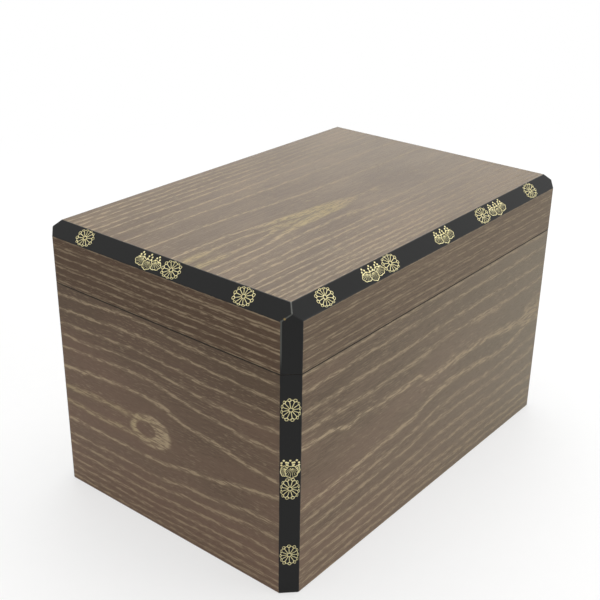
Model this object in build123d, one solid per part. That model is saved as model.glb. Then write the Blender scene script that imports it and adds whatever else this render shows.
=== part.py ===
from build123d import *
import os

# A small wooden box for carrying a tea set: a mitred case, a flush lid that lifts
# straight off an inner lip, and a shallow tray that hangs under the lid.
# Millimetres. The origin is the middle of the underside, X runs along the long side,
# and the front is -Y.

# Outside of the closed box
length = 218.0
width = 146.5
height = 136.5
lid_height = 29.0
bevel = 6.0
arris_round = 0.8
seam_round = 0.3

# Case
wall = 8.5
bottom_thickness = 6.0
bottom_seat = 4.0

# Lip inside the rim, which the lid drops over
lip_thickness = 3.0
lip_rise = 8.0
lip_depth = 14.0
lip_ease = 0.8
lid_clearance = 0.3

# Lid
lid_top_thickness = 5.0
lid_mouth_ease = 0.6

# Loose tongues that stiffen the mitres
tongue_width = 3.2
tongue_thickness = 1.3
tongue_end_cover = 6.0
glue_gap = 0.05

# Tray, and the cleats on the end walls that carry it
tray_height = 28.0
tray_wall = 5.0
tray_bottom_thickness = 4.0
tray_bottom_seat = 2.5
tray_clearance = 0.75
tray_ease = 0.6
tray_fingers = 3
cleat_height = 8.0
cleat_seat = 3.5
cleat_ease = 1.5

# Levels and insets that follow from the sizes above
rim_z = height - lid_height
lid_underside_z = height - lid_top_thickness
lip_top_z = rim_z + lip_rise
cleat_top_z = rim_z - lip_depth
tray_top_z = cleat_top_z + tray_height
lid_wall = wall - lid_clearance
lip_inset = wall + lip_thickness
tray_inset = lip_inset + tray_clearance
cleat_reach = lip_thickness + tray_clearance + cleat_seat

SIDES = ("front", "back", "left", "right")
CORNERS = {
    "front_left": (-1, -1),
    "front_right": (1, -1),
    "back_left": (-1, 1),
    "back_right": (1, 1),
}
parts = {}


def block(inset, z_low, z_high):
    """A solid as long and wide as the box, less an inset all round, between two levels."""
    solid = Box(length - 2 * inset, width - 2 * inset, z_high - z_low)
    return Pos(0, 0, (z_low + z_high) / 2) * solid


def ring(outer_inset, inner_inset, z_low, z_high):
    """A rectangular frame between two insets from the outside of the box."""
    return block(outer_inset, z_low, z_high) - block(inner_inset, z_low, z_high)


def splay(inset, z, ease):
    """Widens the mouth of a hollow by its ease at level z. A minus ease faces a mouth upward."""
    mouth = inset - abs(ease)
    plan = Pos(0, 0, z) * Rectangle(length - 2 * mouth, width - 2 * mouth)
    return extrude(plan, ease, taper=45)


def bevelled(solid):
    """The solid with the box's upright corners bevelled and its outer edges softened, least at the seam."""
    plan = chamfer(Rectangle(length, width).vertices(), bevel)
    solid = solid & extrude(plan, height)
    outer = [edge for edge in solid.edges() if abs(edge.center().Z - rim_z) > seam_round]
    solid = fillet(outer, arris_round)
    seam = [edge for edge in solid.edges() if abs(edge.center().Z - rim_z) < seam_round]
    return fillet(seam, seam_round)


def mitre_zone(side):
    """The part of the plan that belongs to one side, up to the mitre lines of its corners."""
    half_x = length / 2
    half_y = width / 2
    if side in ("front", "back"):
        outline = [(-half_x, -half_y), (half_x, -half_y), (half_x - half_y, 0), (half_y - half_x, 0)]
    else:
        outline = [(-half_x, -half_y), (half_y - half_x, 0), (-half_x, half_y)]
    turn = 180 if side in ("back", "right") else 0
    face = make_face(Polyline(*outline, close=True))
    return Rot(0, 0, turn) * extrude(face, height)


def mitred(frame, name, side):
    """One board of a frame whose corners are mitred."""
    parts[f"{name}_{side}"] = frame & mitre_zone(side)


def tongue(corner, board, z_low, z_high, gap=0.0):
    """The loose tongue that lies square across the middle of one mitre."""
    sx, sy = CORNERS[corner]
    inset = (bevel / 2 + board) / 2
    size_z = z_high - z_low + 2 * gap
    solid = Box(tongue_width + 2 * gap, tongue_thickness + 2 * gap, size_z)
    place = Pos(sx * (length / 2 - inset), sy * (width / 2 - inset), (z_low + z_high) / 2)
    return place * Rot(0, 0, -45 * sx * sy) * solid


def tongued_frame(frame, name, board, z_low, z_high):
    """Cuts a frame's corners for their tongues, then divides it into its four boards."""
    for corner in CORNERS:
        frame = frame - tongue(corner, board, z_low, z_high, glue_gap)
        parts[f"{name}_tongue_{corner}"] = tongue(corner, board, z_low, z_high)
    for side in SIDES:
        mitred(frame, f"{name}_wall", side)


def build_case():
    """Four mitred walls round a bottom board that sits in a rebate, flush underneath."""
    bottom = block(wall - bottom_seat, 0, bottom_thickness)
    walls = bevelled(block(0, 0, rim_z)) - block(wall, 0, rim_z) - bottom
    low = bottom_thickness + tongue_end_cover
    tongued_frame(walls, "case", wall, low, rim_z - tongue_end_cover)
    parts["case_bottom"] = bottom


def build_lip():
    """Four mitred strips glued inside the rim. Their eased top edges lead the lid on."""
    strips = ring(wall, lip_inset, cleat_top_z, lip_top_z)
    top_edges = strips.edges().group_by(Axis.Z)[-1]
    strips = chamfer(top_edges, lip_ease)
    for side in SIDES:
        mitred(strips, "lip", side)


def build_cleats():
    """Two cleats across the end walls, under the lip, with their lower inner edge eased."""
    for name, turn in (("left", 0), ("right", 180)):
        cleat = Box(cleat_reach, width - 2 * wall, cleat_height)
        lower_inner = cleat.edges().filter_by(Axis.Y).group_by(Axis.Z)[0].sort_by(Axis.X)[-1]
        cleat = chamfer(lower_inner, cleat_ease)
        x = -length / 2 + wall + cleat_reach / 2
        z = cleat_top_z - cleat_height / 2
        parts[f"tray_cleat_{name}"] = Rot(0, 0, turn) * Pos(x, 0, z) * cleat


def build_lid():
    """A top board on four mitred walls, bevelled all round as one piece."""
    outside = block(0, rim_z, height)
    outside = chamfer(outside.edges().group_by(Axis.Z)[-1], bevel)
    outside = bevelled(outside)
    walls = outside & ring(0, lid_wall, rim_z, lid_underside_z)
    walls = walls - splay(lid_wall, rim_z, lid_mouth_ease)
    tongued_frame(walls, "lid", lid_wall, rim_z + tongue_end_cover, lid_underside_z)
    parts["lid_top"] = outside & block(0, lid_underside_z, height)


def build_tray():
    """A shallow tray with fingered corners and a bottom let into its walls."""
    bottom_inset = tray_inset + tray_wall - tray_bottom_seat
    bottom = block(bottom_inset, cleat_top_z, cleat_top_z + tray_bottom_thickness)
    inside = tray_inset + tray_wall
    walls = chamfer(block(tray_inset, cleat_top_z, tray_top_z).edges(), tray_ease)
    walls = walls - block(inside, cleat_top_z, tray_top_z) - bottom
    walls = walls - splay(inside, tray_top_z, -tray_ease)
    finger = tray_height / tray_fingers
    end_zone = Box(tray_wall, width, tray_height)
    for name, sx in (("left", -1), ("right", 1)):
        x = sx * (length / 2 - tray_inset - tray_wall / 2)
        zone = Pos(x, 0, cleat_top_z + tray_height / 2) * end_zone
        for level in range(0, tray_fingers, 2):
            z = cleat_top_z + (level + 0.5) * finger
            for sy in (-1, 1):
                y = sy * (width / 2 - tray_inset - tray_wall / 2)
                zone -= Pos(x, y, z) * Box(tray_wall, tray_wall, finger)
        parts[f"tray_wall_{name}"] = walls & zone
        walls = walls - zone
    for name, sy in (("front", -1), ("back", 1)):
        half = Pos(0, sy * width / 4, height / 2) * Box(length, width / 2, height)
        parts[f"tray_wall_{name}"] = walls & half
    parts["tray_bottom"] = bottom


build_case()
build_lip()
build_cleats()
build_lid()
build_tray()

os.makedirs("parts", exist_ok=True)
for name, solid in parts.items():
    export_step(solid, f"parts/{name}.step")
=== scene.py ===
import math
from collections import namedtuple

import bpy
from mathutils import Euler, Matrix, Vector


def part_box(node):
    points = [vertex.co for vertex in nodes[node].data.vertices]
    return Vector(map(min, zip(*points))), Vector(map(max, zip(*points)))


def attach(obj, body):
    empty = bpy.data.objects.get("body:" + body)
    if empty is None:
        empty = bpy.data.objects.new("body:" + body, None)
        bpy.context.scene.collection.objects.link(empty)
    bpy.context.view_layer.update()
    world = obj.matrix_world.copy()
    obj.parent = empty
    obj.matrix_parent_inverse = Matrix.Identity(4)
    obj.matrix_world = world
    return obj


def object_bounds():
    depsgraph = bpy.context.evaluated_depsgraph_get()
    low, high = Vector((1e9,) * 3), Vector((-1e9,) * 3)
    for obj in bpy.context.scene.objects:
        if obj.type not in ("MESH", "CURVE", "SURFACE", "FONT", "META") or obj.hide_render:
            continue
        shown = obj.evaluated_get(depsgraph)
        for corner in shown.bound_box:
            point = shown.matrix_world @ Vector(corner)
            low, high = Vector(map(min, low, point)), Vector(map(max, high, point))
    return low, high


# Looks of a small tea box: stained open-grained boards, bevels in black lacquer, and
# flowers and leaf sprigs drawn on the bevels in gold powder. The frame is in metres.
# The patterns on the boards are worked out in millimetres.

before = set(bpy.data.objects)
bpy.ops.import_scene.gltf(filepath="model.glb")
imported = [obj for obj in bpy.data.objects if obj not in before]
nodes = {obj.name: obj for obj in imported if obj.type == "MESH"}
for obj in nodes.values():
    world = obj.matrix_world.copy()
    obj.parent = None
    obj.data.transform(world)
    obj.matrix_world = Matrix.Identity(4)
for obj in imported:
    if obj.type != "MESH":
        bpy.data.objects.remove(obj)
cad_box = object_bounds()

MM = 0.001

# Keeps a curve whose values are all the same from dividing by zero
SMALLEST_SPAN = 1e-6

# Sockets of a Mix node that mixes colours: the share, the two colours, and the result
MIX_SHARE, MIX_FIRST, MIX_SECOND, MIX_RESULT = 0, 6, 7, 2

# Sizes of the box, read from its solids, in millimetres
half_length = cad_box[1].x / MM
half_width = cad_box[1].y / MM
top_z = cad_box[1].z / MM
rim_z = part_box("case_wall_front")[1].z / MM
bevel = 6.0


# ------------------------------------------------------------------ numbers from nodes
class Field:
    """A number that varies over a surface or a shape, worked out by nodes."""

    def __init__(self, tree, socket):
        self.tree = tree
        self.socket = socket

    def work(self, operation, *others):
        """The result of a Math node whose first number is this field."""
        node = self.tree.nodes.new("ShaderNodeMath")
        node.operation = operation
        for socket, value in zip(node.inputs, (self, *others)):
            feed(self.tree, socket, value)
        return Field(self.tree, node.outputs[0])

    def __add__(self, other):
        return self.work("ADD", other)

    def __sub__(self, other):
        return self.work("SUBTRACT", other)

    def __mul__(self, other):
        return self.work("MULTIPLY", other)

    def __truediv__(self, other):
        return self.work("DIVIDE", other)

    def __pow__(self, other):
        return self.work("POWER", other)

    __radd__ = __add__
    __rmul__ = __mul__

    def __rsub__(self, other):
        return self * -1.0 + other

    def size(self):
        return self.work("ABSOLUTE")

    def root(self):
        return self.work("MAXIMUM", 0.0).work("SQRT")

    def lesser(self, other):
        return self.work("MINIMUM", other)

    def greater(self, other):
        return self.work("MAXIMUM", other)

    def step(self, low, high):
        """0 below low and 1 above high, smoothly in between. It falls if low is above high."""
        node = self.tree.nodes.new("ShaderNodeMapRange")
        node.interpolation_type = "SMOOTHSTEP"
        for socket, value in zip(node.inputs, (self, low, high)):
            feed(self.tree, socket, value)
        return Field(self.tree, node.outputs[0])

    def curve(self, points, smooth=False):
        """A value that follows straight runs between points (number, value), held past the
        ends. If smooth, the runs bend gently into each other."""
        low, high = points[0][0], points[-1][0]
        values = [value for _, value in points]
        base = min(values)
        span = max(max(values) - base, SMALLEST_SPAN)
        node = self.tree.nodes.new("ShaderNodeValToRGB")
        node.color_ramp.interpolation = "B_SPLINE" if smooth else "LINEAR"
        stops = node.color_ramp.elements
        while len(stops) < len(points):
            stops.new(0.5)
        for stop, (number, value) in zip(stops, points):
            stop.position = (number - low) / (high - low)
            grey = (value - base) / span
            stop.color = (grey, grey, grey, 1.0)
        feed(self.tree, node.inputs[0], (self - low) / (high - low))
        return Field(self.tree, node.outputs[0]) * span + base


def feed(tree, socket, value):
    """Puts a number, colour, field or socket into an input."""
    if isinstance(value, Field):
        value = value.socket
    if isinstance(value, bpy.types.NodeSocket):
        tree.links.new(value, socket)
    else:
        socket.default_value = value


class Finish:
    """A material while its nodes are laid out. x, y and z are places in millimetres."""

    def __init__(self, name):
        self.material = bpy.data.materials.new(name)
        self.material.use_nodes = True
        self.tree = self.material.node_tree
        self.shader = self.tree.nodes["Principled BSDF"]
        place = self.tree.nodes.new("ShaderNodeTexCoord").outputs["Object"]
        split = self.tree.nodes.new("ShaderNodeSeparateXYZ")
        self.tree.links.new(place, split.inputs[0])
        self.x, self.y, self.z = (Field(self.tree, out) / MM for out in split.outputs)

    def noise(self, x, y, z=0.0, detail=2.0, rough=0.5):
        """Smooth noise from 0 to 1 whose blobs are about one unit across."""
        place = self.tree.nodes.new("ShaderNodeCombineXYZ")
        for socket, value in zip(place.inputs, (x, y, z)):
            feed(self.tree, socket, value)
        node = self.tree.nodes.new("ShaderNodeTexNoise")
        self.tree.links.new(place.outputs[0], node.inputs["Vector"])
        node.inputs["Scale"].default_value = 1.0
        node.inputs["Detail"].default_value = detail
        node.inputs["Roughness"].default_value = rough
        return Field(self.tree, node.outputs["Fac"])

    def even_noise(self, size, detail, rough=0.5):
        """Noise whose blobs are as large every way, in millimetres."""
        return self.noise(self.x / size, self.y / size, self.z / size, detail, rough)

    def mix(self, share, first, second):
        """The first colour where share is 0, and the second where it is 1."""
        node = self.tree.nodes.new("ShaderNodeMix")
        node.data_type = "RGBA"
        for index, value in ((MIX_SHARE, share), (MIX_FIRST, first), (MIX_SECOND, second)):
            feed(self.tree, node.inputs[index], value)
        return node.outputs[MIX_RESULT]

    def put(self, name, value):
        feed(self.tree, self.shader.inputs[name], value)

    def relief(self, height):
        """Bump whose height is a field in millimetres."""
        node = self.tree.nodes.new("ShaderNodeBump")
        node.inputs["Distance"].default_value = MM
        feed(self.tree, node.inputs["Height"], height)
        self.put("Normal", node.outputs[0])


def colour(red, green, blue):
    return (red, green, blue, 1.0)


def distance(*offsets):
    """How far a place lies from a point, given its offsets from it along two or three axes."""
    total = offsets[0] ** 2.0
    for offset in offsets[1:]:
        total = total + offset ** 2.0
    return total.root()


def bell(offset):
    """1 where the offset is 0, falling off to both sides."""
    return (offset ** 2.0 * -1.0).work("EXPONENT")


# ------------------------------------------------------------------ wood
# Stain and grain. The growth lines are pale, because the stain took less in them.
STAIN_DARK = colour(0.114, 0.080, 0.053)
STAIN_MID = colour(0.180, 0.132, 0.089)
STAIN_DEEP = colour(0.033, 0.016, 0.002)
STAIN_WARM = colour(0.178, 0.113, 0.079)
# Painted sheen: a pale grey veil that stands in for light reflected off the boards
PAINTED_SHEEN_GREY = colour(0.190, 0.159, 0.117)
GROWTH_PALE = colour(0.435, 0.342, 0.222)
GROWTH_YELLOW = colour(0.440, 0.360, 0.185)
# Painted shade: a dark line along the seam between lid and case, where the gap would be in shade
SEAM_PAINTED_SHADE = colour(0.012, 0.010, 0.008)
LACQUER_BLACK = colour(0.0118, 0.0120, 0.0120)
# Painted highlight: pale grey along the lacquered edges at the lid's front left corner, where light
# catches them
LACQUER_HIGHLIGHT = colour(0.120, 0.125, 0.115)
LACQUER_WORN = colour(0.300, 0.215, 0.085)

# How much of a colour shows where it is strongest, from 0 to 1
PORE_SHARE = 0.30
# The next one is how dark the painted shade in the seam gets
SEAM_SHADE_SHARE = 0.85
# The next one is how pale the painted highlight on the lacquer's edges gets
HIGHLIGHT_SHARE = 0.7
YELLOW_SHARE = 0.4

# Sheen, and heights of the relief in millimetres
BOARD_SPECULAR = 0.17
WOOD_ROUGHNESS = 0.50
LACQUER_ROUGHNESS = 0.27
FIBRE_HEIGHT = 0.03
LINE_HEIGHT = 0.035
PORE_DEPTH = 0.03
LACQUER_HEIGHT = 0.03
BRUSHED_HEIGHT = 0.008

# How parts of a board's figure fade, in mm. A pair is where one is gone and where it is full.
HEART_FADE = 22.0  # straying of the axis, as the lines get further from it
CLOSE_STRIP = 7.0  # past the first growth line, where the next ones still copy its dents
BOLD_STRIP = (3.0, 2.0)  # bolder first growth line
NEAR_AXIS = (9.0, 5.0)  # broader lines near the axis
HUMP_RISE = (8.0, 18.0)  # hump above the axis


def near_bevel(finish):
    """How far a place lies behind the nearest bevel plane, measured square to the faces, in mm."""
    end = half_length - finish.x.size()
    side = half_width - finish.y.size()
    top = top_z - finish.z
    return (end + side).lesser(end + top).lesser(side + top)


def from_nearest(ring, rings):
    """How far a place lies from the nearest growth line, in mm, given its own ring."""
    points = [(0.0, rings[0]), (rings[0], 0.0)]
    for inner, outer in zip(rings, rings[1:]):
        points += [((inner + outer) / 2, (outer - inner) / 2), (outer, 0.0)]
    return ring.curve(points)


def painted_edge_highlight_and_chip(finish):
    """Painted highlight: where the lacquer is painted pale grey along the lid's edges at its front
    left corner, as if light caught them, and where it is knocked through at their meeting point, which
    is wear. Both from 0 to 1.

    end, side and top are how far a place lies in from the lid's left end, front and top."""
    end = half_length + finish.x
    side = half_width + finish.y
    top = top_z - finish.z
    upright = (side - bevel).size().step(0.42, 0.20) * end.step(0.6, 0.35)
    upright = upright * top.step(bevel - 0.6, bevel) * (finish.z - rim_z).step(0.4, 12.0)
    slant = (top - side).size().step(0.50, 0.22) * end.step(3.3, 2.9)
    slant = slant * (end + side).step(bevel + 0.9, bevel + 0.5)
    mitre = (end - side).size().step(0.55, 0.28) * top.step(3.4, 3.0)
    painted_highlight = upright.greater(slant).greater(mitre) * HIGHLIGHT_SHARE
    from_chip = distance(end - 1.0, side - (bevel - 1.0), top - (bevel - 1.0))
    ragged = finish.even_noise(0.5, 2.0)
    return painted_highlight, (from_chip + ragged).step(1.15, 0.75)


def growth_lines(finish, along, across, board):
    """Pale growth lines of a flat-sawn board, and where they are yellow. Both from 0 to 1.

    along and across are places on the board's face in mm. The board gives the figure:
    level    height of the figure's axis
    heart    how the axis strays from its level, along the board
    open     how far the first growth line lies from the axis, along the board
    notch    what is added to that above the axis only, along the board
    above    distances of the growth lines from the axis where the board starts, above it
    below    the same, below it
    reach    how far, above and below, the lines beyond the first one bend with it
    hump     a rise of the lines above the axis: its middle, its length and its height
    eye      a closed ring at one place along the axis: its place, and how long and how high
             its inner and outer edges are
    sway, jog, fray    how far the lines stray in long, short and very short waves
    line     how wide a growth line is, in mm
    first    how much bolder the first growth line is than the rest
    broad    how much broader, and yellower, the lines near the axis are, along the board"""
    seed = board["seed"]

    # The waves and blobs of each noise are as long and as high as its dividers, in mm
    sway = finish.noise(along / 46, across / 17, seed, 1.0) - 0.5
    jog = finish.noise(along / 13, across / 6, seed + 3.1, 2.0, 0.6) - 0.5
    fray = finish.noise(along / 3.4, across / 0.8, seed + 5.7, 2.0, 0.6) - 0.5
    swell = finish.noise(along / 16, across / 3, seed + 7.9, 2.0, 0.6)
    wander = sway * board["sway"] + jog * board["jog"] + fray * board["fray"]

    off = across - board["level"]
    off = off - along.curve(board["heart"], smooth=True) * (off.size() / -HEART_FADE).work("EXPONENT")
    away = off.size()
    upper = off.step(-1.0, 1.0)

    # The first growth line is followed closely, and the lines beyond it more and more loosely
    start = board["open"][0][1]
    rough = along.curve(board["open"])
    gentle = along.curve(board["open"], smooth=True)
    beyond = (away - rough).greater(0.0)
    reach_above, reach_below = board["reach"]
    reach = reach_below + upper * (reach_above - reach_below)
    close = beyond.step(CLOSE_STRIP, 0.0)
    ring = away + (start - gentle) * (1.0 - beyond / reach).greater(0.0)
    ring = ring + (gentle - rough) * close + wander
    if "notch" in board:
        ring = ring - along.curve(board["notch"]) * close * upper
    if "hump" in board:
        middle, length, height = board["hump"]
        ring = ring - bell((along - middle) / length) * off.step(*HUMP_RISE) * height

    below = from_nearest(ring, board["below"])
    edge = below + (from_nearest(ring, board["above"]) - below) * upper
    boldness = (ring - start).size().step(*BOLD_STRIP) * board["first"]
    broad = along.curve(board["broad"]) * away.step(*NEAR_AXIS)
    width = board["line"] * (0.35 + 1.3 * swell) * (0.94 + boldness) * (1.0 + broad)
    line = edge.step(width, width * 0.15) * (0.88 + boldness)
    if "eye" in board:
        line = with_eye(line, along, off, away - rough, wander * 0.14, board["eye"])
    return line, broad * YELLOW_SHARE


def with_eye(line, along, off, past_first, wander, eye):
    """Growth lines with a closed ring at one place along the axis, in which they stop."""
    middle, long_inner, short_inner, long_outer, short_outer = eye
    behind = along.step(middle + 6, middle + 10)
    line = line * (1.0 - behind * past_first.step(-2.0, -3.5))
    inner = distance((along - middle) / long_inner, off / short_inner) + wander
    outer_middle = middle + (long_outer - long_inner) * 0.45
    outer = distance((along - outer_middle) / long_outer, off / short_outer) + wander
    rim = inner.step(0.84, 1.10) * outer.step(1.08, 0.84)
    return (line * outer.step(0.80, 0.95)).greater(rim * 1.3)


def open_grain(finish, along, across, depth, line, seed):
    """Fibre, cloud, paleness and pores of coarse wood, given its growth lines. All from 0 to
    1. The lines are torn into strokes along the grain, with stray flecks between them."""
    fibre = finish.noise(along / 16, across / 0.55, depth / 0.55 + seed, 3.0, 0.62)
    stroke = finish.noise(along / 5.5, across / 0.75, depth / 0.75 + seed + 9, 2.0, 0.55)
    fleck = finish.noise(along / 4.2, across / 0.5, depth / 0.5 + seed + 17, 1.0, 0.5)
    thick = finish.noise(along / 40, across / 12, seed + 31, 1.0)
    cloud = finish.noise(along / 70, across / 22, seed + 25, 2.0)
    torn = stroke.step(0.42, 0.56)
    pale = line * (0.22 + 0.78 * torn)
    stray = fleck.step(0.56, 0.70) * (0.12 + 0.38 * thick.step(0.35, 0.65))
    pore = finish.noise(along / 3.2, across / 0.26, depth / 0.26 + seed + 41, 1.0).step(0.58, 0.70)
    return fibre, cloud, pale.greater(stray), pore


def stained_board(name, along, across, depth, board):
    """Finish of one outer board: growth lines, stain, black lacquer on its bevels.

    Besides its figure, the board gives its stain and its painted sheen: contrast is how strongly
    the growth lines show, shade how much deep stain there is, and grey how much painted sheen, a
    pale grey veil that stands in for reflected light, along the board. warm is how much warm
    stain it has, and tone how much lighter or darker it is, by its height."""
    finish = Finish(name)
    u, v, w = (maker(finish) for maker in (along, across, depth))
    seed = board["seed"]
    line, yellow = growth_lines(finish, u, v, board)
    fibre, cloud, pale, pore = open_grain(finish, u, v, w, line, seed)

    tone = finish.z.curve(board["tone"])
    wood = finish.mix((fibre * 0.8 + cloud * 0.4 - 0.1 + tone).step(0.34, 0.66), STAIN_DARK, STAIN_MID)
    low = 1.0 - finish.z / rim_z
    warm = (low * 0.6 + cloud * 1.2).step(0.45, 1.35) * 0.7 + board["warm"]
    wood = finish.mix(warm, wood, STAIN_WARM)
    wood = finish.mix(u.curve(board["shade"]) - tone, wood, STAIN_DEEP)
    # Painted sheen: a grey veil that grows along some boards towards their lit end
    wood = finish.mix(u.curve(board["grey"]), wood, PAINTED_SHEEN_GREY)
    growth = finish.mix(yellow, GROWTH_PALE, GROWTH_YELLOW)
    wood = finish.mix(pale * u.curve(board["contrast"]), wood, growth)
    wood = finish.mix(pore * PORE_SHARE, wood, STAIN_DEEP)

    waver = finish.even_noise(3.0, 2.0) - 0.5
    black = (near_bevel(finish) + waver * 0.35).step(bevel + 0.34, bevel + 0.22)
    # Painted highlight along the lid's front left edges, and a chip worn through the lacquer where
    # they meet
    painted_highlight, knocked = painted_edge_highlight_and_chip(finish)
    lacquer = finish.mix(painted_highlight, LACQUER_BLACK, LACQUER_HIGHLIGHT)
    lacquer = finish.mix(knocked, lacquer, LACQUER_WORN)

    # Painted shade along the seam between lid and case, on the outer faces only
    below_face = (half_length - finish.x.size()).lesser(half_width - finish.y.size())
    seam_shade = (finish.z - rim_z).size().step(0.48, 0.22) * below_face.step(1.2, 0.7)
    painted = finish.mix(black, wood, lacquer)
    finish.put("Base Color", finish.mix(seam_shade * SEAM_SHADE_SHARE, painted, SEAM_PAINTED_SHADE))

    mottle = finish.even_noise(2.2, 3.0)
    wood_rough = WOOD_ROUGHNESS + 0.12 * fibre + 0.10 * pale
    lacquer_rough = LACQUER_ROUGHNESS + 0.10 * mottle
    finish.put("Roughness", wood_rough * (1.0 - black) + lacquer_rough * black)
    finish.put("Specular IOR Level", BOARD_SPECULAR)
    grain_height = fibre * FIBRE_HEIGHT + pale * LINE_HEIGHT - pore * PORE_DEPTH
    lacquer_height = mottle * BRUSHED_HEIGHT + LACQUER_HEIGHT
    finish.relief(grain_height * (1.0 - black) + lacquer_height * black)
    return finish.material


def from_left(finish):
    return finish.x + half_length


def from_right(finish):
    return half_length - finish.x


def from_back(finish):
    return half_width - finish.y


def from_front(finish):
    return finish.y + half_width


def level_x(finish):
    return finish.x


def level_y(finish):
    return finish.y


def level_z(finish):
    return finish.z


# The outer boards. Whatever varies along a board is given by points (place, value), counted
# in mm from the end of the board named with it in outer_boards. tone is counted from the
# ground up.
# In each board, grey is how much painted sheen it has along it
NONE = ((0, 0.0), (218, 0.0))

FRONT_CASE = dict(
    seed=2.0,
    warm=0.0,
    shade=((0, 0.04), (218, 0.0)),
    tone=((0, 0.05), (32, 0.025), (54, 0.005), (75, 0.0), (97, -0.045), (107, -0.06)),
    grey=((0, 0.0), (70, 0.25), (218, 0.90)),
    contrast=((0, 0.66), (110, 0.56), (218, 0.42)),
    level=57.8,
    reach=(17.0, 45.0),
    heart=(
        (0, 0.4), (60, 0.1), (78, 0.5), (92, 1.8), (103, 1.2), (122, 2.7), (148, 2.3),
        (165, -0.4), (183, -1.5), (198, 0.0), (218, 0.0),
    ),
    open=(
        (0, 15.2), (20, 14.4), (38, 13.0), (60, 11.3), (78, 10.3), (93, 9.7), (103, 5.8),
        (122, 4.3), (148, 5.6), (165, 6.0), (183, 3.9), (198, 0.6), (218, -1.0),
    ),
    notch=(
        (0, 0.0), (27, 0.4), (38, -2.8), (46, -0.2), (60, 0.0), (84, 0.2), (93, 1.0),
        (100, -1.0), (107, -0.6), (114, 0.3), (218, 0.0),
    ),
    above=(15.2, 22.6, 31.2, 41.0, 48.6, 56.0),
    below=(15.2, 22.6, 28.0, 34.6, 40.0, 45.5, 49.3, 53.6, 57.6),
    sway=1.6,
    jog=1.9,
    fray=1.5,
    line=1.6,
    first=0.30,
    broad=NONE,
)
BACK_CASE = dict(
    FRONT_CASE,
    seed=31.0,
    level=48.0,
    heart=((0, 0.0), (50, -1.5), (110, 1.0), (170, 2.5), (218, 0.5)),
    open=((0, 15.2), (45, 12.5), (90, 11.0), (125, 7.0), (165, 3.5), (190, 0.0), (218, -2.0)),
    notch=((0, 0.0), (120, 0.0), (131, -1.8), (140, 0.4), (218, 0.0)),
)
LEFT_CASE = dict(
    seed=12.0,
    warm=0.3,
    shade=((0, 0.05), (147, 0.08)),
    tone=((0, 0.055), (32, 0.055), (54, 0.0), (75, -0.055), (97, -0.18), (107, -0.23)),
    grey=NONE,
    contrast=((0, 0.78), (147, 0.72)),
    level=51.0,
    reach=(27.0, 40.0),
    heart=((0, -1.4), (58, 0.0), (88, 1.0), (120, 1.4), (146, 3.4)),
    open=(
        (0, 13.8), (30, 14.4), (60, 14.8), (74, 14.0), (84, 11.4), (95, 10.4), (106, 9.2),
        (118, 6.7), (140, 3.8), (147, 3.0),
    ),
    hump=(56.0, 32.0, 3.0),
    eye=(61.5, 7.0, 4.4, 13.6, 8.6),
    above=(3.4, 13.8, 23.6, 30.0, 36.2, 43.6, 50.8, 57.0),
    below=(4.8, 13.8, 22.8, 28.2, 33.6, 38.2, 42.0, 45.6, 48.6, 52.0),
    sway=1.6,
    jog=2.4,
    fray=1.5,
    line=1.3,
    first=0.18,
    broad=((0, 0.9), (52, 0.9), (72, 0.0), (147, 0.0)),
)
RIGHT_CASE = dict(
    FRONT_CASE,
    seed=47.0,
    shade=((0, 0.06), (147, 0.06)),
    grey=((0, 0.3), (147, 0.3)),
    level=66.0,
    heart=((0, 1.5), (60, -1.0), (147, 2.0)),
    open=((0, 15.2), (40, 13.0), (90, 8.5), (147, 3.0)),
    notch=((0, 0.0), (70, 0.0), (78, -1.4), (88, 0.0), (147, 0.0)),
)
LID_TOP = dict(
    seed=5.0,
    warm=0.0,
    shade=((0, 0.12), (90, 0.08), (218, 0.03)),
    tone=NONE,
    grey=((0, 0.0), (100, 0.0), (218, 0.25)),
    contrast=((0, 0.66), (90, 0.54), (140, 0.28), (180, 0.20), (218, 0.26)),
    level=-12.8,
    reach=(48.0, 17.0),
    heart=((0, -0.4), (40, 0.0), (65, 0.2), (85, -0.6), (110, -0.9), (150, 0.4), (218, 2.0)),
    open=((0, 9.9), (40, 10.2), (62, 6.8), (85, 3.3), (112, 0.0), (130, -2.6), (218, -3.0)),
    above=(4.0, 9.9, 26.0, 39.2, 47.7, 55.2, 59.6, 64.4, 68.6, 72.2, 76.0, 82.0),
    below=(4.4, 9.9, 15.6, 22.3, 26.0, 32.6, 36.5, 41.5, 44.8, 48.1, 51.2, 54.4, 57.6, 61.0),
    sway=2.0,
    jog=1.8,
    fray=1.3,
    line=1.15,
    first=0.18,
    broad=(
        (0, 2.4), (16, 2.0), (30, 0.3), (48, 0.2), (72, 2.4), (100, 2.4), (120, 0.0),
        (218, 0.0),
    ),
)
LID_SIDE = dict(
    seed=8.0,
    warm=0.1,
    shade=((0, 0.22), (218, 0.20)),
    tone=NONE,
    grey=((0, 0.0), (218, 0.30)),
    contrast=((0, 0.50), (110, 0.41), (218, 0.37)),
    level=60.0,
    reach=(30.0, 30.0),
    heart=((0, 0.0), (218, 1.5)),
    open=NONE,
    above=tuple(44.0 + 2.9 * index + 0.8 * math.sin(2.1 * index) for index in range(13)),
    below=(30.0, 40.0),
    sway=0.8,
    jog=1.0,
    fray=0.9,
    line=0.66,
    first=0.0,
    broad=NONE,
)
LID_LEFT = dict(
    LID_SIDE,
    seed=28.0,
    warm=1.0,
    shade=((0, 0.62), (147, 0.60)),
    grey=NONE,
    contrast=((0, 0.50), (147, 0.66)),
    line=0.82,
)

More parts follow.
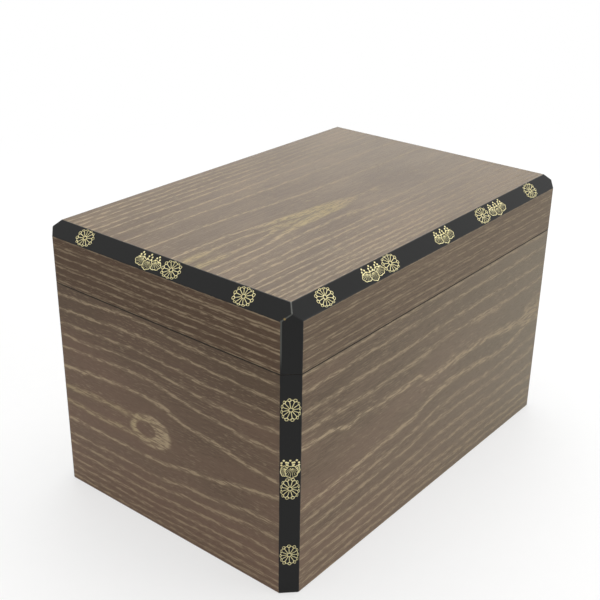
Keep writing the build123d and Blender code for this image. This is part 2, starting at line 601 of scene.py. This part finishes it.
# Each outer board with the axis along its grain, the axis across it, and the axis through it
outer_boards = {
    "case_wall_front": (from_left, level_z, level_y, FRONT_CASE),
    "case_wall_back": (from_right, level_z, level_y, BACK_CASE),
    "case_wall_left": (from_back, level_z, level_x, LEFT_CASE),
    "case_wall_right": (from_front, level_z, level_x, RIGHT_CASE),
    "lid_wall_front": (from_left, level_z, level_y, LID_SIDE),
    "lid_wall_back": (from_right, level_z, level_y, dict(LID_SIDE, seed=18.0)),
    "lid_wall_left": (from_back, level_z, level_x, LID_LEFT),
    "lid_wall_right": (from_front, level_z, level_x, dict(LID_SIDE, seed=38.0)),
    "lid_top": (from_left, level_y, level_z, LID_TOP),
}


def give(node, material):
    """Makes a material the whole finish of a solid."""
    node.data.materials.clear()
    node.data.materials.append(material)


for name, (along, across, depth, board) in outer_boards.items():
    give(nodes[name], stained_board(f"stained_{name}", along, across, depth, board))

# ------------------------------------------------------------------ inner pieces
INNER_DARK = colour(0.120, 0.078, 0.047)
INNER_LIGHT = colour(0.205, 0.140, 0.086)
INNER_ROUGHNESS = 0.55
INNER_FIBRE_HEIGHT = 0.02
INNER_PORE_DEPTH = 0.02


def inner_board(name, along, across, depth, seed):
    """Finish of a plain inner piece: fine straight grain under a thin brown stain."""
    finish = Finish(name)
    u, v, w = (maker(finish) for maker in (along, across, depth))
    bend = finish.noise(u / 60, v / 25, w / 25 + seed, 1.0) - 0.5
    band = finish.noise(u / 300, (v + bend * 7) / 3.4, (w + bend * 7) / 3.4 + seed, 2.0)
    fibre = finish.noise(u / 20, v / 0.4, w / 0.4 + seed, 2.0, 0.6)
    pore = finish.noise(u / 5, v / 0.35, w / 0.35 + seed + 7, 2.0).step(0.60, 0.72)
    share = (band * 0.7 + fibre * 0.4 - 0.05).step(0.25, 0.8)
    finish.put("Base Color", finish.mix(share, INNER_DARK, INNER_LIGHT))
    finish.put("Roughness", INNER_ROUGHNESS + 0.15 * fibre)
    finish.relief(fibre * INNER_FIBRE_HEIGHT - pore * INNER_PORE_DEPTH)
    return finish.material


inner_x = inner_board("inner_wood_lengthwise", level_x, level_y, level_z, 3.0)
inner_y = inner_board("inner_wood_crosswise", level_y, level_x, level_z, 6.0)
inner_z = inner_board("inner_wood_upright", level_z, level_x, level_y, 9.0)
for name, node in nodes.items():
    if name in outer_boards:
        continue
    if "tongue" in name:
        give(node, inner_z)
    elif name.endswith(("left", "right")):
        give(node, inner_y)
    else:
        give(node, inner_x)

# ------------------------------------------------------------------ gold
GOLD_LIGHT = colour(0.960, 0.880, 0.500)
GOLD_DARK = colour(0.700, 0.610, 0.270)
GOLD_METALLIC = 0.15
GOLD_ROUGHNESS = 0.38
GRAIN_SIZE = 0.12
GRAIN_HEIGHT = 0.02


def gold_powder():
    """Sprinkled gold powder: grainy, half dull, worn darker in places."""
    finish = Finish("gold_powder")
    grain = finish.even_noise(GRAIN_SIZE, 2.0, 0.7)
    worn = finish.even_noise(2.5, 2.0)
    bright = (grain * 0.6 + worn * 0.5).step(0.25, 0.75)
    finish.put("Base Color", finish.mix(bright, GOLD_DARK, GOLD_LIGHT))
    finish.put("Metallic", GOLD_METALLIC)
    finish.put("Roughness", GOLD_ROUGHNESS + 0.22 * grain)
    finish.relief(grain * GRAIN_HEIGHT)
    return finish.material


# What is drawn along each bevel: how far along it, how far across it, and how far it is
# turned, in millimetres and degrees. Drawings on the lid count from the middle of its sides,
# and those on the upright bevels from the ground.
FLOWER, WIDE_SPRIG, TALL_SPRIG = 0, 1, 2
LID_LONG = (
    (FLOWER, -85.7, 0.0, 4), (WIDE_SPRIG, -53.8, 0.0, 0), (FLOWER, -40.9, 0.1, 17),
    (WIDE_SPRIG, 1.0, 0.0, 0), (FLOWER, 35.4, -0.2, 9), (WIDE_SPRIG, 48.8, 0.0, 0),
    (FLOWER, 82.6, 0.0, 21),
)
LID_SHORT = (
    (FLOWER, -47.9, 0.0, 12), (WIDE_SPRIG, -7.5, 0.0, 0), (FLOWER, 5.8, -0.1, 3),
    (FLOWER, 45.7, 0.0, 25),
)
UPRIGHT = (
    (FLOWER, 91.6, 0.0, 8), (TALL_SPRIG, 64.4, 0.0, 0), (FLOWER, 54.2, 0.0, 15),
    (FLOWER, 20.6, 0.0, 2),
)

# One drawing: its place x and y on the bevel, its turn there, the bevel's middle, and the
# turn that lays things on the bevel
Drawing = namedtuple("Drawing", "kind x y spin middle turn upright")

# Middles of the bevels
edge_x = half_length - bevel / 2
edge_y = half_width - bevel / 2
edge_z = top_z - bevel / 2
lean = math.radians(45)
quarter = math.radians(90)


def bevel_turn(facing, tilt):
    """Turn that lays a drawing on a bevel. Its x axis is level and runs to the right of
    someone who looks at the bevel, and its z axis comes out of it."""
    return Matrix.Rotation(facing, 3, "Z") @ Matrix.Rotation(tilt, 3, "X")


def upright_bevel(corner_x, corner_y):
    """The drawings on the upright bevel of one corner of the case."""
    middle = Vector((corner_x * edge_x, corner_y * edge_y, 0))
    turn = bevel_turn(math.atan2(corner_y, corner_x) + quarter, quarter)
    return [
        Drawing(kind, across, level, spin, middle, turn, True)
        for kind, level, across, spin in UPRIGHT
    ]


def top_bevel(facing, middle, drawings):
    """The drawings on one bevel of the lid, which faces so many degrees round from the front."""
    middle = Vector(middle)
    turn = bevel_turn(math.radians(facing), lean)
    return [
        Drawing(kind, along, across, spin, middle, turn, False)
        for kind, along, across, spin in drawings
    ]


lid_drawings = (
    top_bevel(0, (0, -edge_y, edge_z), LID_LONG)
    + top_bevel(180, (0, edge_y, edge_z), LID_LONG)
    + top_bevel(-90, (-edge_x, 0, edge_z), LID_SHORT)
    + top_bevel(90, (edge_x, 0, edge_z), LID_SHORT)
)
case_drawings = (
    upright_bevel(-1, -1)
    + upright_bevel(1, -1)
    + upright_bevel(1, 1)
    + upright_bevel(-1, 1)
)


class Shape:
    """A Geometry Nodes tree while it is laid out."""

    def __init__(self, name):
        self.tree = bpy.data.node_groups.new(name, "GeometryNodeTree")
        self.tree.interface.new_socket("Geometry", in_out="INPUT", socket_type="NodeSocketGeometry")
        self.tree.interface.new_socket("Geometry", in_out="OUTPUT", socket_type="NodeSocketGeometry")
        self.entry = self.tree.nodes.new("NodeGroupInput")
        self.exit = self.tree.nodes.new("NodeGroupOutput")

    def size_input(self, name, value):
        """A named length of the tree, with the value that it has from the start."""
        socket = self.tree.interface.new_socket(name, in_out="INPUT", socket_type="NodeSocketFloat")
        socket.default_value = value
        return Field(self.tree, self.entry.outputs[name])

    def node(self, kind, settings=None, **inputs):
        """A node with its inputs filled. A space in an input's name is written as _."""
        node = self.tree.nodes.new(kind)
        for key, value in (settings or {}).items():
            setattr(node, key, value)
        for key, value in inputs.items():
            feed(self.tree, node.inputs[key.replace("_", " ")], value)
        return node

    def out(self, kind, settings=None, **inputs):
        """The first output of such a node."""
        return self.node(kind, settings, **inputs).outputs[0]

    def vector(self, x, y, z=0.0):
        return self.out("ShaderNodeCombineXYZ", X=x, Y=y, Z=z)

    def here(self):
        """Fields of the point being placed."""
        split = self.node("ShaderNodeSeparateXYZ", Vector=self.out("GeometryNodeInputPosition"))
        return [Field(self.tree, out) for out in split.outputs]

    def stored(self, name, kind):
        """What each point was given under a name."""
        return self.out("GeometryNodeInputNamedAttribute", {"data_type": kind}, Name=name)

    def number(self, name):
        return Field(self.tree, self.stored(name, "FLOAT"))

    def index(self):
        return Field(self.tree, self.out("GeometryNodeInputIndex"))

    def place(self, geometry, position):
        return self.out("GeometryNodeSetPosition", Geometry=geometry, Position=position)

    def join(self, *parts):
        node = self.tree.nodes.new("GeometryNodeJoinGeometry")
        for part in reversed(parts):
            self.tree.links.new(part, node.inputs[0])
        return node.outputs[0]

    def circle(self, resolution, radius):
        return self.out("GeometryNodeCurvePrimitiveCircle", Resolution=resolution, Radius=radius)

    def moved(self, geometry, x=0.0, y=0.0, turn=0.0, scale=(1.0, 1.0)):
        """Scaled, then turned, then moved in the drawing's plane."""
        node = self.node("GeometryNodeTransform", Geometry=geometry)
        feed(self.tree, node.inputs["Translation"], self.vector(x, y))
        node.inputs["Rotation"].default_value = Euler((0.0, 0.0, math.radians(turn)))
        feed(self.tree, node.inputs["Scale"], self.vector(scale[0], scale[1], 1.0))
        return node.outputs[0]

    def line(self, start, end, count):
        """A straight line with so many points."""
        start, end = self.vector(*start), self.vector(*end)
        line = self.out("GeometryNodeCurvePrimitiveLine", Start=start, End=end)
        return self.out("GeometryNodeResampleCurve", Curve=line, Count=count)

    def tube(self, lines, width):
        """Lines turned into closed cords of one width."""
        profile = self.circle(6, width * 0.5)
        return self.out("GeometryNodeCurveToMesh", Curve=lines, Profile_Curve=profile, Fill_Caps=True)

    def spun(self, angle):
        """A turn by an angle in the drawing's plane."""
        return self.out("FunctionNodeEulerToRotation", Euler=self.vector(0.0, 0.0, angle))

    def copies(self, geometry, points, **inputs):
        """One real copy on each point."""
        node = self.node("GeometryNodeInstanceOnPoints", Points=points, Instance=geometry, **inputs)
        return self.out("GeometryNodeRealizeInstances", Geometry=node.outputs[0])

    def ring_of(self, geometry, count):
        """count copies turned evenly round the middle."""
        points = self.out("GeometryNodePoints", Count=count)
        step = 2 * math.pi / count
        return self.copies(geometry, points, Rotation=self.spun(self.index() * step))

    def row_of(self, geometry, count, start, step):
        """count copies in a straight row in the drawing's plane."""
        points = self.out("GeometryNodePoints", Count=count)
        index = self.index()
        places = self.vector(index * step[0] + start[0], index * step[1] + start[1])
        return self.copies(geometry, self.place(points, places))


def flower(shape, diameter, line_width):
    """Twelve rounded petals that share the lines between them, a small ring in the middle,
    and a loop outside each gap between two petals. The lines are finest at the middle."""
    petals = 12
    half_turn = math.pi / petals
    radius = diameter * 0.5

    # Shares of the radius
    spoke_start, spoke_end = 0.18, 0.69
    loop_size, loop_place, ring_size = 0.13, 0.85, 0.165

    spoke = shape.line((radius * spoke_start, 0.0), (radius * spoke_end, 0.0), 5)
    x, _, _ = shape.here()
    spoke = shape.out("GeometryNodeSetCurveRadius", Curve=spoke, Radius=x / radius * 0.8 + 0.35)
    tip = shape.out(
        "GeometryNodeCurveArc", Resolution=9, Radius=radius * (spoke_end * math.sin(half_turn)),
        Start_Angle=-quarter, Sweep_Angle=2 * quarter,
    )
    tip = shape.moved(tip, radius * (spoke_end * math.cos(half_turn)), 0.0)
    tips = shape.moved(shape.ring_of(tip, petals), turn=180 / petals)
    loop = shape.moved(shape.circle(8, radius * loop_size), radius * loop_place, 0.0)
    ring = shape.circle(10, radius * ring_size)
    spokes, loops = shape.ring_of(spoke, petals), shape.ring_of(loop, petals)
    return shape.tube(shape.join(spokes, tips, loops, ring), line_width)


def leaf(shape, veins, turn):
    """The scalloped edge of a round leaf one unit in radius, and the veins that fan out from
    its stalk. The stalk is at the top before the turn."""
    stalk_y = 0.72
    fan_width = math.radians(128)
    edge = shape.circle(42, 1.0)
    x, y, _ = shape.here()
    angle = x.work("ARCTAN2", y * -1.0)
    scallop = (angle * 3.5).work("COSINE").size() * 0.15 + 0.88
    edge = shape.place(edge, shape.vector(x * scallop, y * scallop))
    vein = shape.line((0.0, -0.12), (0.0, -0.90), 12)
    points = shape.place(shape.out("GeometryNodePoints", Count=veins), shape.vector(0.0, stalk_y))
    swing = (shape.index() + 0.5 - veins / 2) * (fan_width / veins)
    aside = swing.work("SINE") * stalk_y
    reach = swing.work("COSINE") * stalk_y + (1.0 - aside * aside).root()
    fan = shape.copies(vein, points, Scale=shape.vector(1.0, reach, 1.0), Rotation=shape.spun(swing))
    return shape.moved(edge, turn=turn), shape.moved(fan, turn=turn)


def outside(shape, lines, x, y, half_wide, half_high):
    """Lines without the parts of them that lie behind an oval."""
    wires = shape.out("GeometryNodeCurveToMesh", Curve=lines)
    here_x, here_y, _ = shape.here()
    from_middle = ((here_x - x) / half_wide) ** 2.0 + ((here_y - y) / half_high) ** 2.0
    hidden = from_middle.work("LESS_THAN", 0.96)
    cut = shape.out("GeometryNodeDeleteGeometry", Geometry=wires, Selection=hidden)
    return shape.out("GeometryNodeMeshToCurve", Mesh=cut)


def blossoms(shape, rows, size):
    """A flower spike: pairs of small beads up a stem, with one at its tip."""
    bead = shape.out("GeometryNodeMeshIcoSphere", Radius=size * 0.34, Subdivisions=2)
    left = shape.row_of(bead, rows, (size * -0.78, size * 0.35), (size * 0.10, size * 0.82))
    right = shape.row_of(bead, rows, (size * 0.78, size * 0.35), (size * -0.10, size * 0.82))
    return shape.join(left, right, shape.moved(bead, y=size * (rows * 0.80 + 0.30)))


def sprig(shape, width, height, line_width, bead_pitch, front_leaf, side_leaves, spikes):
    """Three veined leaves below three flower spikes, the middle leaf in front of the others.
    Places and sizes are shares of the drawing's width and height: leaves (x, y, half width,
    half height, turn) and spikes (x, y, pairs of beads, turn)."""
    veins_per_leaf = 8
    front_x, front_y, front_wide, front_high, _ = front_leaf
    front_oval = (width * front_x, height * front_y, width * front_wide, height * front_high)
    edges, veins, beads = [], [], []
    for leaf_place in (front_leaf, *side_leaves):
        x, y, half_wide, half_high, turn = leaf_place
        spot = dict(x=width * x, y=height * y, scale=(width * half_wide, height * half_high))
        edge, fan = (shape.moved(lines, **spot) for lines in leaf(shape, veins_per_leaf, turn))
        if leaf_place is not front_leaf:
            edge = outside(shape, edge, *front_oval)
            fan = outside(shape, fan, *front_oval)
        edges.append(edge)
        veins.append(fan)
    for x, y, rows, turn in spikes:
        spike = blossoms(shape, rows, bead_pitch)
        beads.append(shape.moved(spike, x=width * x, y=height * y, turn=turn))
    return shape.join(
        shape.tube(shape.join(*edges), line_width * 1.15),
        shape.tube(shape.join(*veins), line_width * 0.50),
        *beads,
    )


def drawing_tree():
    """Draws flowers and sprigs where points say, squeezes the flowers into the width of the
    bevel, flattens all lines, and lays them on the bevel."""
    shape = Shape("gold_on_bevels")
    tree = shape.tree
    diameter = shape.size_input("Flower Length", 10.7 * MM)
    squeeze = shape.size_input("Flower Squeeze", 0.46)
    wide = shape.size_input("Wide Sprig Width", 15.0 * MM)
    tall = shape.size_input("Tall Sprig Width", 8.1 * MM)
    line_width = shape.size_input("Line Width", 0.28 * MM)
    line_height = shape.size_input("Line Height", 0.05 * MM)
    half_band = shape.size_input("Half Bevel Width", bevel * math.sqrt(0.5) * MM)
    tree.interface.new_socket("Material", in_out="INPUT", socket_type="NodeSocketMaterial")

    rosette = flower(shape, diameter, line_width)
    wide_sprig = sprig(
        shape, wide, wide * 0.53, line_width, wide * 0.092,
        (0.0, -0.19, 0.17, 0.30, 0),
        ((-0.28, -0.09, 0.215, 0.26, -40), (0.28, -0.08, 0.215, 0.27, 40)),
        ((-0.30, 0.07, 2, 10), (-0.01, 0.07, 2, 0), (0.27, 0.09, 2, -10)),
    )
    tall_sprig = sprig(
        shape, tall, tall * 1.24, line_width, tall * 0.17,
        (0.07, -0.20, 0.33, 0.29, 0),
        ((-0.31, -0.14, 0.18, 0.25, -30), (0.36, -0.08, 0.13, 0.19, 30)),
        ((-0.31, 0.10, 2, 3), (0.0, 0.09, 2, 0), (0.31, 0.10, 2, -3)),
    )
    points = shape.entry.outputs["Geometry"]
    kind = shape.number("kind")
    drawn = []
    for wanted, drawing in ((FLOWER, rosette), (WIDE_SPRIG, wide_sprig), (TALL_SPRIG, tall_sprig)):
        chosen = kind.work("COMPARE", float(wanted), 0.1)
        spin = shape.spun(shape.number("spin"))
        drawn.append(shape.copies(drawing, points, Selection=chosen, Rotation=spin))
    flat = shape.join(*drawn)

    # Past this part of the bevel's half width, a flower is squeezed in towards its middle
    free_share = 0.62
    x, y, z = shape.here()
    upright = shape.number("upright")
    level = 1.0 - upright
    cross = x * upright + y * level
    excess = (cross.size() - half_band * free_share).greater(0.0)
    is_flower = kind.step(FLOWER + 0.6, FLOWER + 0.4)
    cross = cross - cross.work("SIGN") * excess * squeeze * is_flower

    # Round cords become low ones as high as a line, and what is fatter is cut off
    cut = line_height * 1.4
    flat_z = (z * (line_height * 2.0 / line_width)).lesser(cut).greater(cut * -1.0)
    squeezed = shape.vector(x * level + cross * upright, y * upright + cross * level, flat_z)

    turn = shape.out("FunctionNodeEulerToRotation", Euler=shape.stored("turn", "FLOAT_VECTOR"))
    turned = shape.out("FunctionNodeRotateVector", Vector=squeezed, Rotation=turn)
    add = shape.node("ShaderNodeVectorMath", {"operation": "ADD"})
    tree.links.new(turned, add.inputs[0])
    tree.links.new(shape.stored("middle", "FLOAT_VECTOR"), add.inputs[1])
    laid = shape.place(flat, add.outputs[0])
    whole = shape.out("GeometryNodeRealizeInstances", Geometry=laid)
    material = shape.entry.outputs["Material"]
    finished = shape.out("GeometryNodeSetMaterial", Geometry=whole, Material=material)
    tree.links.new(finished, shape.exit.inputs[0])
    return tree


def show(name, mesh):
    """A new object of the scene."""
    thing = bpy.data.objects.new(name, mesh)
    bpy.context.scene.collection.objects.link(thing)
    return thing


def draw_gold(name, drawings, tree, material):
    """One mesh of all the gold on one body."""
    mesh = bpy.data.meshes.new(name + "_places")
    mesh.from_pydata([(drawing.x * MM, drawing.y * MM, 0.0) for drawing in drawings], [], [])
    numbers = {
        "kind": [float(drawing.kind) for drawing in drawings],
        "spin": [math.radians(drawing.spin) for drawing in drawings],
        "upright": [float(drawing.upright) for drawing in drawings],
    }
    vectors = {
        "turn": [angle for drawing in drawings for angle in drawing.turn.to_euler()],
        "middle": [place * MM for drawing in drawings for place in drawing.middle],
    }
    for key, values in numbers.items():
        mesh.attributes.new(key, "FLOAT", "POINT").data.foreach_set("value", values)
    for key, values in vectors.items():
        mesh.attributes.new(key, "FLOAT_VECTOR", "POINT").data.foreach_set("vector", values)

    places = show(name + "_places", mesh)
    modifier = places.modifiers.new("gold", "NODES")
    modifier.node_group = tree
    for item in tree.interface.items_tree:
        if item.in_out == "INPUT" and item.name == "Material":
            modifier[item.identifier] = material
    evaluated = places.evaluated_get(bpy.context.evaluated_depsgraph_get())
    gold_mesh = bpy.data.meshes.new_from_object(evaluated)
    gold_mesh.name = name
    for key in (*numbers, *vectors):
        if key in gold_mesh.attributes:
            gold_mesh.attributes.remove(gold_mesh.attributes[key])
    drawn = show(name, gold_mesh)
    bpy.data.objects.remove(places)
    return drawn


gold_tree = drawing_tree()
gold = gold_powder()
lid_gold = draw_gold("lid_gold", lid_drawings, gold_tree, gold)
case_gold = draw_gold("case_gold", case_drawings, gold_tree, gold)
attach(lid_gold, "lid")
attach(case_gold, "case")

# ------------------------------------------------------------------ floor and light
def seen(tree):
    """1 for what is seen itself, also mirrored or through glass, and 0 for what only lights
    the box."""
    path = tree.nodes.new("ShaderNodeLightPath")
    straight = Field(tree, path.outputs["Is Camera Ray"])
    mirrored = Field(tree, path.outputs["Is Glossy Ray"])
    through = Field(tree, path.outputs["Is Transmission Ray"])
    return straight.greater(mirrored).greater(through)


# A pale paper floor that keeps the shadow beside the box and turns white further off
floor_mesh = bpy.data.meshes.new("floor")
floor_mesh.from_pydata([(-6, -6, 0), (6, -6, 0), (6, 6, 0), (-6, 6, 0)], [], [(0, 1, 2, 3)])
floor = show("floor", floor_mesh)

WHITE = colour(1.0, 1.0, 1.0)
WHITE_BY_BOX = 0.62
paper = Finish("pale_floor")
speck = paper.noise(paper.x / 9, paper.y / 9, 0.0, 3.0)
paper.put("Base Color", paper.mix(speck, colour(0.80, 0.80, 0.80), colour(0.83, 0.83, 0.83)))
paper.put("Roughness", 0.85)
far = distance(paper.x, paper.y).step(330, 620)
white = paper.tree.nodes.new("ShaderNodeEmission")
white.inputs["Color"].default_value = WHITE
blend = paper.tree.nodes.new("ShaderNodeMixShader")
feed(paper.tree, blend.inputs[0], seen(paper.tree) * (WHITE_BY_BOX + (1.0 - WHITE_BY_BOX) * far))
feed(paper.tree, blend.inputs[1], paper.shader.outputs[0])
feed(paper.tree, blend.inputs[2], white.outputs[0])
feed(paper.tree, paper.tree.nodes["Material Output"].inputs["Surface"], blend.outputs[0])
floor.data.materials.append(paper.material)

# A world that looks white and lights the box dimly
world = bpy.data.worlds.new("studio")
bpy.context.scene.world = world
world.use_nodes = True
sky = world.node_tree
dim = sky.nodes["Background"]
dim.inputs["Color"].default_value = colour(1.0, 0.985, 0.96)
dim.inputs["Strength"].default_value = 0.34
bright = sky.nodes.new("ShaderNodeBackground")
bright.inputs["Color"].default_value = WHITE
bright.inputs["Strength"].default_value = 1.0
sky_mix = sky.nodes.new("ShaderNodeMixShader")
feed(sky, sky_mix.inputs[0], seen(sky))
feed(sky, sky_mix.inputs[1], dim.outputs[0])
feed(sky, sky_mix.inputs[2], bright.outputs[0])
feed(sky, sky.nodes["World Output"].inputs[0], sky_mix.outputs[0])


def softbox(name, place, aim, size, power, tint):
    """A rectangular lamp that faces a point. Places and sizes are in metres."""
    lamp = bpy.data.lights.new(name, "AREA")
    lamp.shape = "RECTANGLE"
    lamp.size, lamp.size_y = size
    lamp.energy = power
    lamp.color = tint
    light = show(name, lamp)
    light.location = place
    light.rotation_mode = "QUATERNION"
    light.rotation_quaternion = (Vector(aim) - Vector(place)).to_track_quat("-Z", "Y")


softbox("overhead", (0.25, 0.15, 1.45), (0.0, 0.0, 0.1), (1.5, 1.5), 22.7, (0.99, 0.99, 0.985))
softbox("front", (0.75, -1.50, 0.55), (0.05, -0.05, 0.06), (1.0, 0.7), 10.5, (0.97, 0.99, 1.0))
softbox("left", (-1.7, 0.35, 0.60), (-0.05, 0.0, 0.06), (0.8, 0.8), 3.0, (1.0, 0.97, 0.93))
softbox("back_right", (1.45, 1.05, 0.75), (0.05, 0.0, 0.13), (1.2, 0.7), 9.0, (0.90, 0.97, 1.0))

# ------------------------------------------------------------------ camera
# Fitted to the corners of the box in the photograph. It looks down on the front left corner.
azimuth = math.radians(51.283)
elevation = math.radians(25.045)
roll = math.radians(0.877)
level_forward = Vector((math.sin(azimuth), math.cos(azimuth), 0.0))
forward = level_forward * math.cos(elevation) - Vector((0.0, 0.0, math.sin(elevation)))
level_right = Vector((math.cos(azimuth), -math.sin(azimuth), 0.0))
level_up = level_right.cross(forward)
picture_right = level_right * math.cos(roll) + level_up * math.sin(roll)
picture_up = level_up * math.cos(roll) - level_right * math.sin(roll)
camera = show("camera", bpy.data.cameras.new("camera"))
camera.location = (-0.38120, -0.29459, 0.30538)
camera.rotation_mode = "QUATERNION"
turned = Matrix((picture_right, picture_up, -forward)).transposed()
camera.rotation_quaternion = turned.to_quaternion()
camera.data.sensor_width = 36.0
camera.data.lens = 62.84
camera.data.clip_start = 0.01
camera.data.clip_end = 50.0
bpy.context.scene.camera = camera
bpy.context.scene.view_settings.view_transform = "Standard"
